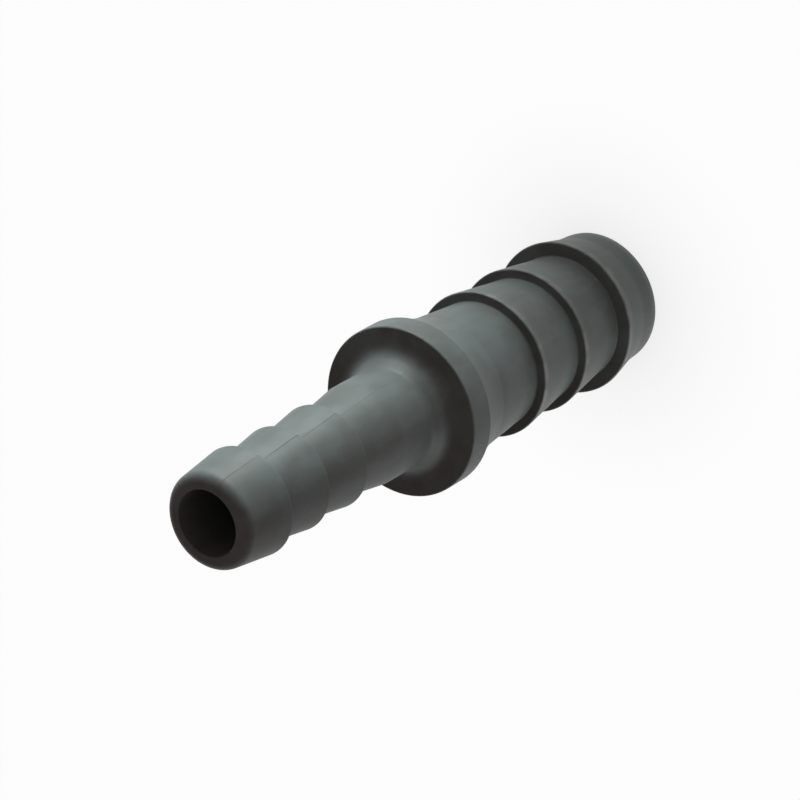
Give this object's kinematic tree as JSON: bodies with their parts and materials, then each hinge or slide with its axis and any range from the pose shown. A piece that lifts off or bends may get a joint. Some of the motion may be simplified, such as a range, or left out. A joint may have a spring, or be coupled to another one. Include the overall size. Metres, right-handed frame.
{
  "type": "hose reducer",
  "caption": "Straight barbed tube that joins a wide hose to a narrow one, with a round collar between its two ends as a stop for both hoses.",
  "frame": {"origin": "centre of the wide end's face, which the part stands on", "axes": "+Z along the flow axis, from the wide end to the narrow end; the two mould halves part at the plane of X and Z"},
  "size_m": [0.024, 0.024, 0.0905],
  "materials": {
    "moulded_plastic": "dark grey moulded plastic, satin, slightly uneven"
  },
  "bodies": {
    "root": {"reducer_body": "moulded_plastic"}
  },
  "joints": []
}
